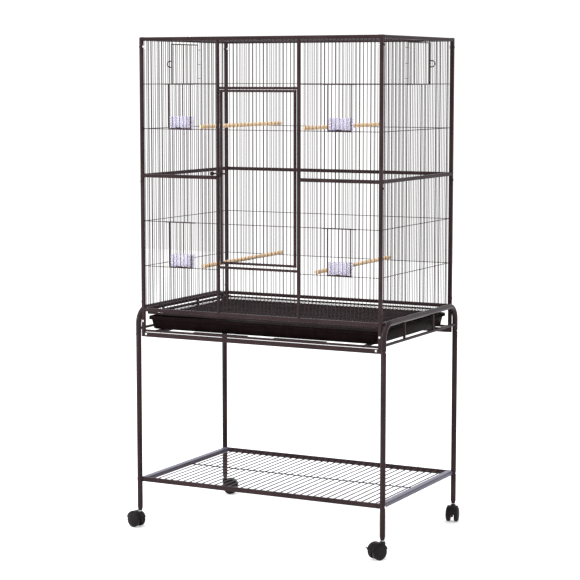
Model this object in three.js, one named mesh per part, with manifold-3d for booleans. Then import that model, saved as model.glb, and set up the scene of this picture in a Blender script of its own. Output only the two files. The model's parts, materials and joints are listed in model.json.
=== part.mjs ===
// Flight cage for small birds on a rolling stand, in millimetres, +Z up.
// Origin: on the floor under the middle of the cage. Front is -Y, where the large door is.
import * as THREE from 'three';
import { mergeVertices } from 'three/addons/utils/BufferGeometryUtils.js';
import Module from 'manifold-3d';

const wasm = await Module();
wasm.setup();

// ---- Driving dimensions ----
const GAP = 0.3;               // clearance between neighbouring pieces

const TUBE = 9.5;              // square tube of posts and cage rails
const TUBE_BORE = 7.5;
const POST_X = 355.6;          // corner post centres
const POST_Y = 231.9;
const CAGE_TOP = 1346;
const CAGE_BOTTOM = 603.5;
const MID_RAIL_Z = 974.5;
const MID_RAIL_DEPTH = 5.3;
const POST_FOOT = 534;         // posts run down to the bottom of the cross rails

const WIRE = 2.2;
const EDGE_WIRE = 3.2;         // heavier wire round the small doors
const WIRE_Y = 2;              // wire plane, inward of the tube centre plane
const CROSS_WIRE_Y = WIRE_Y + WIRE + GAP;
const CROSS_WIRES = [728, 851, 1101, 1221];
const PITCH = 11.05;           // vertical wire spacing

const DIVIDER_X = 120.5;       // uprights either side of the front door
const DIVIDER = 7;
const HEADER_Z = [1207.7, 1214.5];
const SILL_Z = [732, 738.6];

const DOOR_HALF_WIDTH = 113;
const DOOR_Z = [744.7, 1206.7];
const DOOR_TUBE = 6.4;
const DOOR_PITCH = 11.25;      // wires of the door and of the bars above and below it
const DOOR_WIRES = 18;
const HINGE_PIN_R = 1.6;
const LATCH = { z: 985.5, knobX: -132, tipX: -131, tailX: -91 };
const BOLT_R = 2.2;

const FEEDER_X = 237.4;        // feeder opening centres, mirrored left and right
const FEEDER_PITCHES = 3;      // half width of a feeder opening, in wire spacings
const FEEDER_Z = { upper: [1101, 1221], lower: [728, 851] };
const FEEDER_HEAD = 96;        // head bar is wider than its door

const CUP = { width: 66, depth: 32, height: 36.5, wall: 2, corner: 10 };
const CUP_SHIFT = -7;          // the cups hang a little left of their openings
const PERCH_R = 5.75;
const PERCH_ENDS = 228.4;      // the dowels stop just inside the upright wires
const PERCHES = [
  { name: 'upper_left', x: -175, wire: 1101 },
  { name: 'upper_right', x: 134, wire: 1101 },
  { name: 'lower_left', x: -170, wire: 728 },
  { name: 'lower_right', x: 170, wire: 728 },
];

const NEST_HALF_WIDTH = 6.5;   // in wire spacings
const NEST_Z = [1221, 1330];
const NEST_DOOR_Y = -2;        // outside the wires, so the hinge edge can turn
const PULL_R = 8.5;
const PULL_REACH = 13;
const PULL_Z = 1275;

const LEG_X = 368.2;           // stand leg centres
const LEG_Y = 238.9;
const LEG_R = 7.5;
const LEG_BORE_R = 6.2;
const LEG_FOOT = 49;
const LEG_TOP = 545;           // above this the side arch carries on
const ARCH_TOP = 610;          // centre line of the arch's level run
const ARCH_BEND = 40;
const CROSS_RAIL = { z: 539.7, height: 12, depth: 9.5 };
const SIDE_BRACE_Z = [553, 559.5];
const STRUT_Y = [-108, 82];

const SHELF = { z: 136, height: 12.5, tube: 9, halfX: 360.3, halfY: 238, pitch: 20, wires: 35 };
const SHELF_SIDE = { x: 359, width: 20 };
const SHELF_WIRE = 2.6;

const TRAY = { top: 590, bottom: 554, halfX: 346, halfY: 226, draft: 8, wall: 1.6, rim: 5, skirt: 9 };
const GRATE = { z: 598, halfX: 346, halfY: 224, pitch: 11.05, bar: 4, height: 5 };
const GRATE_PULL = { halfX: 36, reach: 9, bar: 5, thick: 3 };
const TRAY_FRAME = { z: [549, 553.7], bar: 6 };
const TRAY_PLATES = { x: [[-205, -40], [40, 195]], reach: 20, thick: 1.5 };
const RUNNER = { x: [304, 322], thick: 2, drop: 7 };

const WHEEL_R = 21;
const WHEEL_WIDTH = 14.4;
const WHEEL_TRACK = 24.4;      // between the middles of the two wheels
const TRAIL = 16;              // axle offset from the swivel axis
const HOOD_R = 24;
const AXLE_R = 3;
const STEM_R = 4;
const BRAKE_ANGLE = 0.38;      // where the brake lever is hinged on the hood, above the axle level
// Caster headings, in degrees from +X: the way each axle trails its leg.
const CASTERS = [
  { name: 'front_left', x: -LEG_X, y: -LEG_Y, heading: 166 },
  { name: 'front_right', x: LEG_X, y: -LEG_Y, heading: 239 },
  { name: 'rear_left', x: -LEG_X, y: LEG_Y, heading: 27 },
  { name: 'rear_right', x: LEG_X, y: LEG_Y, heading: 286 },
];

// ---- Materials ----
const finish = (color, roughness, metalness, opacity = 1) => new THREE.MeshStandardMaterial({
  color, roughness, metalness, opacity, transparent: opacity < 1,
});
const COAT = finish(0x372d30, 0.45, 0.3);
const WIRE_COAT = finish(0x3a3134, 0.45, 0.3);
const TRAY_PLASTIC = finish(0x1c1c20, 0.3, 0);
const CASTER_PLASTIC = finish(0x161418, 0.4, 0);
const CUP_PLASTIC = finish(0xb7b8e6, 0.25, 0, 0.6);
const WOOD = finish(0xd9b48a, 0.7, 0);
const STEEL = finish(0x9a9a9e, 0.35, 0.9);

// ---- Solids ----
function solid(geometry) {
  const bare = geometry.clone();
  bare.deleteAttribute('normal');
  bare.deleteAttribute('uv');
  const merged = mergeVertices(bare, 1e-4);
  return new wasm.Manifold(new wasm.Mesh({
    numProp: 3,
    vertProperties: new Float32Array(merged.attributes.position.array),
    triVerts: new Uint32Array(merged.index.array),
  }));
}

function geometryOf(manifold) {
  const mesh = manifold.getMesh();
  const geometry = new THREE.BufferGeometry();
  geometry.setAttribute('position', new THREE.BufferAttribute(new Float32Array(mesh.vertProperties), 3));
  geometry.setIndex(new THREE.BufferAttribute(new Uint32Array(mesh.triVerts), 1));
  const flat = geometry.toNonIndexed();
  flat.computeVertexNormals();
  return flat;
}

const join = (pieces) => pieces.reduce((whole, piece) => whole.add(piece));

// A bar between two corners: [x0, x1], [y0, y1], [z0, z1].
function bar([x0, x1], [y0, y1], [z0, z1]) {
  const geometry = new THREE.BoxGeometry(x1 - x0, y1 - y0, z1 - z0);
  geometry.translate((x0 + x1) / 2, (y0 + y1) / 2, (z0 + z1) / 2);
  return solid(geometry);
}

const about = (middle, size) => [middle - size / 2, middle + size / 2];

// Square tube along X or Z, open at both ends.
function squareTube(along, [from, to], u, v, size = TUBE, bore = TUBE_BORE) {
  const inside = [from - 1, to + 1];
  if (along === 'x') {
    const hollow = bar(inside, about(u, bore), about(v, bore));
    return bar([from, to], about(u, size), about(v, size)).subtract(hollow);
  }
  const hollow = bar(about(u, bore), about(v, bore), inside);
  return bar(about(u, size), about(v, size), [from, to]).subtract(hollow);
}

function rod(radius, length, segments = 12) {
  const geometry = new THREE.CylinderGeometry(radius, radius, length, segments);
  return geometry.rotateX(Math.PI / 2);
}

// Turned shape about Z from [radius, z] points.
function turned(profile, segments = 14) {
  const points = profile.map(([r, z]) => new THREE.Vector2(r, z));
  return new THREE.LatheGeometry(points, segments).rotateX(Math.PI / 2);
}

// A path that ExtrudeGeometry follows from one listed point to the next.
class Route extends THREE.Curve {
  constructor(points) {
    super();
    this.points = points;
  }

  index(u) {
    return Math.round(u * (this.points.length - 1));
  }

  getPointAt(u, target = new THREE.Vector3()) {
    return target.copy(this.points[this.index(u)]);
  }

  getTangentAt(u, target = new THREE.Vector3()) {
    const i = this.index(u);
    const last = this.points.length - 1;
    const before = this.points[Math.min(i, last - 1) + 1].clone().sub(this.points[Math.min(i, last - 1)]);
    const j = Math.max(i - 1, 0);
    const after = this.points[j + 1].clone().sub(this.points[j]);
    return target.copy(before.normalize().add(after.normalize())).normalize();
  }
}

function sweep(points, radius, sides, boreRadius = 0) {
  const ring = (r) => Array.from({ length: sides }, (_, k) => {
    const a = (2 * Math.PI * k) / sides;
    return new THREE.Vector2(r * Math.cos(a), r * Math.sin(a));
  });
  const shape = new THREE.Shape(ring(radius));
  if (boreRadius) {
    shape.holes.push(new THREE.Path(ring(boreRadius)));
  }
  return new THREE.ExtrudeGeometry(shape, { steps: points.length - 1, extrudePath: new Route(points) });
}

// Points of a quarter bend in the YZ plane, from angle a0 to a1 about a centre.
function bendYZ(x, cy, cz, radius, a0, a1, steps) {
  return Array.from({ length: steps + 1 }, (_, k) => {
    const a = THREE.MathUtils.degToRad(a0 + ((a1 - a0) * k) / steps);
    return new THREE.Vector3(x, cy + radius * Math.cos(a), cz + radius * Math.sin(a));
  });
}

// ---- Assembly ----
const cage = new THREE.Group();

function place(name, shape, material, parent = cage) {
  const geometry = shape instanceof THREE.BufferGeometry ? shape : geometryOf(shape);
  const mesh = new THREE.Mesh(geometry, material);
  mesh.name = name;
  parent.add(mesh);
  return mesh;
}

function group(x, y, z, turnDegrees = 0, parent = cage) {
  const holder = new THREE.Group();
  holder.position.set(x, y, z);
  holder.rotation.z = THREE.MathUtils.degToRad(turnDegrees);
  parent.add(holder);
  return holder;
}

// ---- Wire grilles ----
// A grille lies in its own XZ plane with -Y outside. Upright wires stand every pitch from the
// middle, and stop at openings. Cross wires lie just inside them and are held by the end bars.
const WIRE_DEPTH = about(WIRE_Y, WIRE);
const CROSS_DEPTH = about(CROSS_WIRE_Y, WIRE);
const END_BAR_DEPTH = [-2, CROSS_WIRE_Y];
const BITE = 0.6;              // how far a wire enters what it is welded to

function uprights(offsets, [low, high], openings, depth = WIRE_DEPTH) {
  const wires = [];
  for (const x of offsets) {
    const cuts = openings.filter((o) => x > o.x[0] && x < o.x[1]).map((o) => o.z);
    cuts.sort((a, b) => a[0] - b[0]);
    let from = low;
    for (const [z0, z1] of cuts) {
      wires.push(bar(about(x, WIRE), depth, [from, z0]));
      from = z1;
    }
    if (from < high) {
      wires.push(bar(about(x, WIRE), depth, [from, high]));
    }
  }
  return wires;
}

// Offsets of evenly spaced wires, symmetric about the middle.
function spaced(count, pitch) {
  return Array.from({ length: count }, (_, k) => (k - (count - 1) / 2) * pitch);
}

function openingFrame(opening) {
  const depth = [WIRE_DEPTH[0], CROSS_WIRE_Y + BITE];
  return opening.z.map((z) => bar(opening.x, depth, about(z, EDGE_WIRE)));
}

// Side or back panel of the cage: tube rails top, middle and bottom, and the wires between them.
function wallPanel(halfWidth, pitch, openings) {
  const half = halfWidth - GAP;
  const count = 2 * Math.floor((half - 5) / pitch) + 1;
  const low = CAGE_BOTTOM + TUBE;
  const high = CAGE_TOP - TUBE;
  const bars = [
    squareTube('x', [-half, half], 0, CAGE_TOP - TUBE / 2),
    squareTube('x', [-half, half], 0, CAGE_BOTTOM + TUBE / 2),
    bar([-half, half], [-TUBE / 2, -TUBE / 2 + MID_RAIL_DEPTH], about(MID_RAIL_Z, TUBE)),
  ];
  const reach = [low - BITE, high + BITE];
  for (const side of [-1, 1]) {
    bars.push(bar(about(side * (half - 1.5), 2.4), END_BAR_DEPTH, reach));
  }
  for (const z of CROSS_WIRES) {
    bars.push(bar([-half + 1.5, half - 1.5], CROSS_DEPTH, about(z, WIRE)));
  }
  const frames = openings.flatMap((opening) => openingFrame({ x: opening.x, z: [opening.z[0]] }));
  return join([...bars, ...frames, ...uprights(spaced(count, pitch), reach, openings)]);
}

const SIDE_HALF = POST_Y - TUBE / 2;
const BACK_HALF = POST_X - TUBE / 2;
const nestOpening = {
  x: [-NEST_HALF_WIDTH * PITCH, NEST_HALF_WIDTH * PITCH],
  z: [NEST_Z[0], CAGE_TOP],
};
const WALLS = [
  { name: 'right_panel', x: POST_X, y: 0, turn: 90, half: SIDE_HALF, openings: [nestOpening] },
  { name: 'left_panel', x: -POST_X, y: 0, turn: -90, half: SIDE_HALF, openings: [nestOpening] },
  { name: 'back_panel', x: 0, y: POST_Y, turn: 180, half: BACK_HALF, openings: [] },
];
for (const wall of WALLS) {
  const panel = place(wall.name, wallPanel(wall.half, PITCH, wall.openings), WIRE_COAT);
  panel.position.set(wall.x, wall.y, 0);
  panel.rotation.z = THREE.MathUtils.degToRad(wall.turn);
}

// ---- Cage frame ----
for (const [side, x] of [['left', -POST_X], ['right', POST_X]]) {
  for (const [end, y] of [['front', -POST_Y], ['rear', POST_Y]]) {
    place(`corner_post_${end}_${side}`, squareTube('z', [POST_FOOT, CAGE_TOP], x, y), COAT);
  }
}

const front = group(0, -POST_Y, 0);
const FRONT_HALF = BACK_HALF - GAP;
const railSpan = [-FRONT_HALF, FRONT_HALF];
place('front_top_rail', squareTube('x', railSpan, 0, CAGE_TOP - TUBE / 2), COAT, front);
place('front_bottom_rail', squareTube('x', railSpan, 0, CAGE_BOTTOM + TUBE / 2), COAT, front);
const BETWEEN_RAILS = [CAGE_BOTTOM + TUBE + GAP, CAGE_TOP - TUBE - GAP];
for (const [side, x] of [['left', -DIVIDER_X], ['right', DIVIDER_X]]) {
  place(`front_divider_${side}`, squareTube('z', BETWEEN_RAILS, x, 0, DIVIDER, DIVIDER - 2), COAT, front);
}

// Fixed front grille beside the door, with an upper and a lower feeder opening.
const feederHalf = FEEDER_PITCHES * PITCH;
const feederOpenings = Object.values(FEEDER_Z).map((z) => ({ x: [-feederHalf, feederHalf], z }));
function frontGrille(side) {
  const inner = side * (DIVIDER_X + DIVIDER / 2 + GAP - FEEDER_X);
  const outer = side * (FRONT_HALF - FEEDER_X);
  const span = [Math.min(inner, outer), Math.max(inner, outer)];
  const edges = [span[0] + 1.4, span[1] - 1.4];
  const [low, high] = BETWEEN_RAILS;
  const strip = about(WIRE_Y, WIRE + 2 * GAP);
  const bars = [
    bar(span, [-TUBE / 2, -TUBE / 2 + MID_RAIL_DEPTH], about(MID_RAIL_Z, TUBE)),
    bar(edges, strip, [low, low + 2.6]),
    bar(edges, strip, [high - 2.6, high]),
  ];
  for (const x of edges) {
    bars.push(bar(about(x, 2.4), END_BAR_DEPTH, [low + BITE, high - BITE]));
  }
  for (const z of CROSS_WIRES) {
    bars.push(bar(edges, CROSS_DEPTH, about(z, WIRE)));
  }
  const reach = [low + 1.4, high - 1.4];
  const frames = feederOpenings.flatMap(openingFrame);
  return join([...bars, ...frames, ...uprights(spaced(19, PITCH), reach, feederOpenings)]);
}
for (const [name, side] of [['left', -1], ['right', 1]]) {
  place(`front_grille_${name}`, frontGrille(side), WIRE_COAT, front).position.x = side * FEEDER_X;
}

// Bars above and below the door, with their short wires and the door's hinge holes.
const DOORWAY_HALF = DIVIDER_X - DIVIDER / 2 - GAP;
const hingeX = DOOR_HALF_WIDTH - DOOR_TUBE / 2;
function doorwayGrille([z0, z1], [wireFrom, wireTo]) {
  const hole = solid(rod(HINGE_PIN_R + GAP, 40, 8).translate(hingeX, 0, (z0 + z1) / 2));
  const beam = bar([-DOORWAY_HALF, DOORWAY_HALF], about(0, DIVIDER), [z0, z1]).subtract(hole);
  return join([beam, ...uprights(spaced(DOOR_WIRES + 2, DOOR_PITCH), [wireFrom, wireTo], [])]);
}
place('door_header', doorwayGrille(HEADER_Z, [HEADER_Z[1] - BITE, BETWEEN_RAILS[1]]), WIRE_COAT, front);
place('door_sill', doorwayGrille(SILL_Z, [BETWEEN_RAILS[0], SILL_Z[0] + BITE]), WIRE_COAT, front);

// ---- Front door, hinged on its right stile ----
function frontDoor() {
  const [low, high] = DOOR_Z;
  const t = DOOR_TUBE;
  const half = DOOR_HALF_WIDTH;
  const parts = [low + t / 2, high - t / 2].map((z) => bar([-half, half], about(0, t), about(z, t)));
  for (const side of [-1, 1]) {
    parts.push(bar(about(side * (half - t / 2), t), about(0, t), [low, high]));
  }
  const inside = half - t + BITE;
  const crossDepth = about(WIRE_DEPTH[0] - GAP - WIRE / 2, WIRE);
  for (const z of CROSS_WIRES.slice(1, 3)) {
    parts.push(bar([-inside, inside], crossDepth, about(z, WIRE)));
  }
  parts.push(...uprights(spaced(DOOR_WIRES, DOOR_PITCH), [low + t - BITE, high - t + BITE], []));
  let door = join(parts);
  for (const z of DOOR_Z) {
    door = door.subtract(solid(rod(HINGE_PIN_R + GAP, 24, 8).translate(hingeX, 0, z)));
  }
  return door;
}
place('front_door', frontDoor(), WIRE_COAT, front);
const pinSpans = [['lower', SILL_Z[0] - 2, DOOR_Z[0] + 11], ['upper', DOOR_Z[1] - 11, HEADER_Z[1] + 2]];
for (const [end, from, to] of pinSpans) {
  const pin = place(`door_hinge_pin_${end}`, rod(HINGE_PIN_R, to - from, 8), STEEL, front);
  pin.position.set(hingeX, 0, (from + to) / 2);
}

// Slide bolt: a guide on the door's left stile, and a round bolt that reaches over the divider to
// its knob. The bolt slides right, off the divider, to free the door.
const latchFace = -DOOR_TUBE / 2 - GAP;
const latchY = latchFace - 4;
const guideX = -DOOR_HALF_WIDTH + 5;
const boltHole = solid(rod(BOLT_R + 0.4, 20, 8).rotateY(Math.PI / 2).translate(guideX, latchY, LATCH.z));
const guide = bar(about(guideX, 4), [latchFace - 8, latchFace], about(LATCH.z, 18)).subtract(boltHole);
place('latch_guide', guide, COAT, front);
const knobProfile = [[0, -4], [4.5, -4], [5.5, -2], [5.5, 2], [4.5, 4], [0, 4]];
const boltMiddle = (LATCH.tipX + LATCH.tailX) / 2;
const boltRod = rod(BOLT_R, LATCH.tailX - LATCH.tipX, 10).rotateY(Math.PI / 2);
boltRod.translate(boltMiddle, latchY, LATCH.z);
const knob = turned(knobProfile, 12).rotateX(Math.PI / 2);
knob.translate(LATCH.knobX, latchFace - 7, LATCH.z);
place('latch_bolt', join([solid(boltRod), solid(knob)]), CASTER_PLASTIC, front);

// ---- Guillotine feeder doors, outside the front wires ----
const FEEDER_DOOR_Y = WIRE_DEPTH[0] - 0.4 - EDGE_WIRE / 2;
function feederDoor([low, high]) {
  const depth = about(0, EDGE_WIRE);
  const parts = [
    bar(about(0, FEEDER_HEAD), depth, about(high, EDGE_WIRE)),
    bar(about(0, 2 * feederHalf + EDGE_WIRE), depth, about(low + 2, EDGE_WIRE)),
  ];
  for (const side of [-1, 1]) {
    parts.push(bar(about(side * feederHalf, EDGE_WIRE), depth, [low + 2, high]));
  }
  const inner = spaced(2 * FEEDER_PITCHES - 1, PITCH);
  return join([...parts, ...uprights(inner, [low + 2, high], [], about(0, WIRE))]);
}
for (const [level, z] of Object.entries(FEEDER_Z)) {
  for (const [side, x] of [['left', -FEEDER_X], ['right', FEEDER_X]]) {
    const door = place(`feeder_door_${level}_${side}`, feederDoor(z), WIRE_COAT, front);
    door.position.set(x, FEEDER_DOOR_Y, 0);
  }
}

// ---- Feed and water cups, hung inside the feeder openings ----
function roundedRect(width, depth, radius) {
  const shape = new THREE.Shape();
  const corners = [[1, -1, -90], [1, 1, 0], [-1, 1, 90], [-1, -1, 180]];
  for (const [sx, sy, start] of corners) {
    const a = THREE.MathUtils.degToRad(start);
    shape.absarc(sx * (width / 2 - radius), sy * (depth / 2 - radius), radius, a, a + Math.PI / 2);
  }
  return shape;
}
function prism(shape, [z0, z1], curveSegments = 3) {
  const geometry = new THREE.ExtrudeGeometry(shape, { depth: z1 - z0, bevelEnabled: false, curveSegments });
  return solid(geometry.translate(0, 0, z0));
}
function cup() {
  const { width, depth, height, wall, corner } = CUP;
  const outside = prism(roundedRect(width, depth, corner), [0, height]);
  const inner = roundedRect(width - 2 * wall, depth - 2 * wall, corner - wall);
  const inside = prism(inner, [wall, height + 1]);
  // Ledge that rests on the opening's lower bar.
  const ledge = bar([-22, 22], [-depth / 2 - 4.6, -depth / 2 + 1], [4.5, 7]);
  return outside.subtract(inside).add(ledge);
}
const CUP_Y = CROSS_DEPTH[1] + 0.6 + CUP.depth / 2;
for (const [level, [wire]] of Object.entries(FEEDER_Z)) {
  for (const [side, x] of [['left', -FEEDER_X], ['right', FEEDER_X]]) {
    const hung = place(`cup_${level}_${side}`, cup(), CUP_PLASTIC, front);
    hung.position.set(x + CUP_SHIFT, CUP_Y, wire - 2.5);
  }
}

// ---- Perches: dowels lying on the front and back cross wires ----
const perchProfile = [
  [0, -PERCH_ENDS], [PERCH_R - 1, -PERCH_ENDS], [PERCH_R, -PERCH_ENDS + 1],
  [PERCH_R, PERCH_ENDS - 1], [PERCH_R - 1, PERCH_ENDS], [0, PERCH_ENDS],
];
for (const { name, x, wire } of PERCHES) {
  const perch = place(`perch_${name}`, turned(perchProfile, 12).rotateX(Math.PI / 2), WOOD);
  perch.position.set(x, 0, wire + WIRE / 2 + GAP + PERCH_R);
}

// ---- Nest-box doors on the two sides, with a fixed wire pull on the free edge ----
function nestDoor() {
  const half = NEST_HALF_WIDTH * PITCH;
  const depth = about(0, EDGE_WIRE);
  const [low, high] = NEST_Z;
  const parts = [];
  for (const z of NEST_Z) {
    parts.push(bar(about(0, 2 * half), depth, about(z, EDGE_WIRE)));
  }
  for (const side of [-1, 1]) {
    parts.push(bar(about(side * half, EDGE_WIRE), depth, [low, high]));
  }
  return join([...parts, ...uprights(spaced(12, PITCH), [low, high], [], about(0, WIRE))]);
}
const pullRoute = [
  new THREE.Vector3(0, 0, -PULL_R),
  ...bendYZ(0, -PULL_REACH + PULL_R, 0, PULL_R, 270, 90, 8),
  new THREE.Vector3(0, 0, PULL_R),
];
const pullY = NEST_DOOR_Y - EDGE_WIRE / 2 - GAP;
for (const [side, x, turn] of [['right', POST_X, 90], ['left', -POST_X, -90]]) {
  const wall = group(x, 0, 0, turn);
  place(`nest_door_${side}`, nestDoor(), WIRE_COAT, wall).position.y = NEST_DOOR_Y;
  const pull = place(`nest_door_pull_${side}`, sweep(pullRoute, 1.5, 8), WIRE_COAT, wall);
  pull.position.set(NEST_HALF_WIDTH * PITCH, pullY, PULL_Z);
}

// ---- Roof: wires front to back in a wire edge, set between the top rails ----
function flatGrid(halfX, halfY, edge, pitch) {
  const parts = [];
  for (const side of [-1, 1]) {
    parts.push(bar([-halfX, halfX], about(side * (halfY - edge / 2), edge), about(0, edge)));
    parts.push(bar(about(side * (halfX - edge), edge), [-halfY + 1, halfY - 1], about(0, edge - 0.6)));
  }
  const count = 2 * Math.floor((halfX - edge - 4) / pitch) + 1;
  for (const x of spaced(count, pitch)) {
    parts.push(bar(about(x, WIRE), [-halfY + edge - BITE, halfY - edge + BITE], about(0, WIRE)));
  }
  return join(parts);
}
const roof = flatGrid(BACK_HALF - GAP, SIDE_HALF - GAP, EDGE_WIRE, PITCH);
place('roof_grid', roof, WIRE_COAT).position.z = CAGE_TOP - TUBE / 2;

// ---- Grate and droppings tray, both slide out at the front ----
function grate() {
  const { halfX, halfY, pitch, bar: width, height } = GRATE;
  const parts = [];
  for (const side of [-1, 1]) {
    parts.push(bar([-halfX, halfX], about(side * (halfY - width / 2), width), about(0, height)));
    parts.push(bar(about(side * (halfX - width), width), [-halfY + 1, halfY - 1], about(0, height - 1)));
  }
  const count = 2 * Math.floor((halfX - 2 * width) / pitch) + 1;
  for (const x of spaced(count, pitch)) {
    parts.push(bar(about(x, WIRE), [-halfY + 3, halfY - 3], about(0, WIRE)));
  }
  // Finger pull in the middle of the front bar.
  const { halfX: pullX, reach, bar: wide, thick } = GRATE_PULL;
  const pull = bar([-pullX, pullX], [-halfY - reach, -halfY + 1], about(0, thick))
    .subtract(bar([-pullX + wide, pullX - wide], [-halfY - reach + 3.5, -halfY - 0.5], about(0, thick + 2)));
  return join([...parts, pull]);
}
place('grate', grate(), WIRE_COAT).position.z = GRATE.z;

function tray() {
  const { top, bottom, halfX, halfY, draft, wall, rim, skirt } = TRAY;
  const height = top - bottom;
  const frustum = (hx, hy, z0, z1) => {
    const geometry = new THREE.BoxGeometry(2 * hx, 2 * hy, z1 - z0);
    const position = geometry.attributes.position;
    for (let k = 0; k < position.count; k += 1) {
      if (position.getZ(k) < 0) {
        position.setX(k, position.getX(k) * (1 - draft / hx));
        position.setY(k, position.getY(k) * (1 - draft / hy));
      }
    }
    return solid(geometry.translate(0, 0, (z0 + z1) / 2));
  };
  const shell = frustum(halfX - rim, halfY - rim, 0, height)
    .subtract(frustum(halfX - rim - wall, halfY - rim - wall, wall, height + 1));
  const openX = halfX - rim - wall - 1;
  const openY = halfY - rim - wall - 1;
  const underX = halfX - wall;
  const underY = halfY - wall;
  const lip = bar([-halfX, halfX], [-halfY, halfY], [height - skirt, height])
    .subtract(bar([-underX, underX], [-underY, underY], [height - skirt - 1, height - wall]))
    .subtract(bar([-openX, openX], [-openY, openY], [height - wall - 1, height + 1]));
  return shell.add(lip);
}
place('tray', tray(), TRAY_PLASTIC).position.z = TRAY.bottom;

// Frame that the tray rides on, between the foot ends of the corner posts: a bar at the front and
// the rear, an angle under each side of the tray, and two plates behind the front bar.
function trayFrame() {
  const [low, high] = TRAY_FRAME.z;
  const [near, far] = RUNNER.x;
  const reach = [-POST_Y + 2, POST_Y - 2];
  const parts = [];
  for (const side of [-1, 1]) {
    const flange = side * (near + far) / 2;
    const leg = side * (near + 0.4 + RUNNER.thick / 2);
    parts.push(bar([-FRONT_HALF, FRONT_HALF], about(side * POST_Y, TRAY_FRAME.bar), [low, high]));
    parts.push(bar(about(flange, far - near), reach, [high - 0.4 - RUNNER.thick, high - 0.4]));
    parts.push(bar(about(leg, RUNNER.thick), reach, [high - 0.4 - RUNNER.drop, high - 1]));
  }
  for (const span of TRAY_PLATES.x) {
    const y = [-POST_Y + 2, -POST_Y + TRAY_PLATES.reach];
    parts.push(bar(span, y, [high - 0.4 - TRAY_PLATES.thick, high - 0.4]));
  }
  return join(parts);
}
place('tray_frame', trayFrame(), COAT);

// ---- Stand ----
const legProfile = [
  [LEG_R - 2.2, LEG_FOOT], [LEG_R, LEG_FOOT + 5], [LEG_R, LEG_TOP], [LEG_BORE_R, LEG_TOP],
  [LEG_BORE_R, LEG_FOOT + 34], [STEM_R + GAP, LEG_FOOT + 34], [STEM_R + GAP, LEG_FOOT],
  [LEG_R - 2.2, LEG_FOOT],
];
for (const caster of CASTERS) {
  const leg = place(`leg_${caster.name}`, turned(legProfile, 14), COAT);
  leg.position.set(caster.x, caster.y, 0);
}

const archFoot = LEG_TOP + GAP;
const bendY = LEG_Y - ARCH_BEND;
const archRoute = [
  new THREE.Vector3(0, LEG_Y, archFoot),
  ...bendYZ(0, bendY, ARCH_TOP - ARCH_BEND, ARCH_BEND, 0, 90, 4),
  ...bendYZ(0, -bendY, ARCH_TOP - ARCH_BEND, ARCH_BEND, 90, 180, 4),
  new THREE.Vector3(0, -LEG_Y, archFoot),
];
const braceHalf = LEG_Y - LEG_R - GAP;
function sideBrace() {
  const rail = bar(about(0, 8), [-braceHalf, braceHalf], SIDE_BRACE_Z);
  const strutTop = ARCH_TOP - LEG_R - GAP;
  return join([rail, ...STRUT_Y.map((y) => bar(about(0, 6), about(y, 6), [SIDE_BRACE_Z[1] - 1, strutTop]))]);
}
for (const [side, x] of [['left', -LEG_X], ['right', LEG_X]]) {
  place(`side_arch_${side}`, sweep(archRoute, LEG_R, 12, LEG_BORE_R), COAT).position.x = x;
  place(`side_brace_${side}`, sideBrace(), COAT).position.x = x;
}
for (const [end, y] of [['front', -POST_Y], ['rear', POST_Y]]) {
  const height = about(CROSS_RAIL.z, CROSS_RAIL.height);
  const rail = bar([-FRONT_HALF, FRONT_HALF], about(y, CROSS_RAIL.depth), height);
  place(`cross_rail_${end}`, rail, COAT);
}

// Wire shelf between the legs, with wide side rails.
function shelf() {
  const { height, tube, halfX, halfY, pitch, wires } = SHELF;
  const { x: sideX, width } = SHELF_SIDE;
  const parts = [];
  for (const side of [-1, 1]) {
    parts.push(bar([-halfX, halfX], about(side * (halfY - tube / 2), tube), about(0, height)));
    const sideReach = [-braceHalf + 0.1, braceHalf - 0.1];
    parts.push(bar(about(side * sideX, width), sideReach, about(0, height - 0.6)));
  }
  const reach = halfY - tube + BITE;
  for (const x of spaced(wires, pitch)) {
    parts.push(bar(about(x, SHELF_WIRE), [-reach, reach], about(3, SHELF_WIRE)));
  }
  parts.push(bar([-sideX + 8, sideX - 8], about(0, SHELF_WIRE), about(0, SHELF_WIRE)));
  return join(parts);
}
place('bottom_shelf', shelf(), COAT).position.z = SHELF.z;

// ---- Casters: hood with stem, a pair of wheels on one axle, and a brake lever on one ----
// Built with the swivel axis at the origin and the axle out along +X.
const GAP_BETWEEN = WHEEL_TRACK - WHEEL_WIDTH;
function arcShape(outer, inner, a0, a1) {
  const shape = new THREE.Shape();
  shape.absarc(0, 0, outer, a0, a1, false);
  shape.absarc(0, 0, inner, a1, a0, true);
  return shape;
}
// Slab of a shape drawn in XZ, centred on Y, and moved by x and z.
function slab(shape, thickness, curveSegments, x = 0, z = 0) {
  const geometry = new THREE.ExtrudeGeometry(shape, { depth: thickness, bevelEnabled: false, curveSegments });
  geometry.translate(0, 0, -thickness / 2).rotateX(Math.PI / 2);
  return solid(geometry.translate(x, 0, z));
}
function hood() {
  const inner = WHEEL_R + 0.9;
  const coverWidth = 2 * WHEEL_TRACK - 9;
  const cover = slab(arcShape(HOOD_R, inner, 0.15, Math.PI - 0.25), coverWidth, 7, TRAIL, WHEEL_R);
  const plate = new THREE.Shape();
  plate.absarc(0, 0, inner + 0.5, -0.25, Math.PI + 0.25, false);
  plate.holes.push(new THREE.Path().absarc(0, 0, AXLE_R + GAP, 0, 2 * Math.PI, true));
  const web = slab(plate, GAP_BETWEEN - 3, 8, TRAIL, WHEEL_R);
  const neckTop = LEG_FOOT - GAP;
  const stemTop = LEG_FOOT + 28;
  const neckProfile = [
    [0, 30], [4.4, 30], [4.4, 38], [6, 40.5], [6, 44], [5.3, neckTop],
    [STEM_R, neckTop], [STEM_R, stemTop], [0, stemTop],
  ];
  return join([cover, web, solid(turned(neckProfile, 10))]);
}
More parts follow.
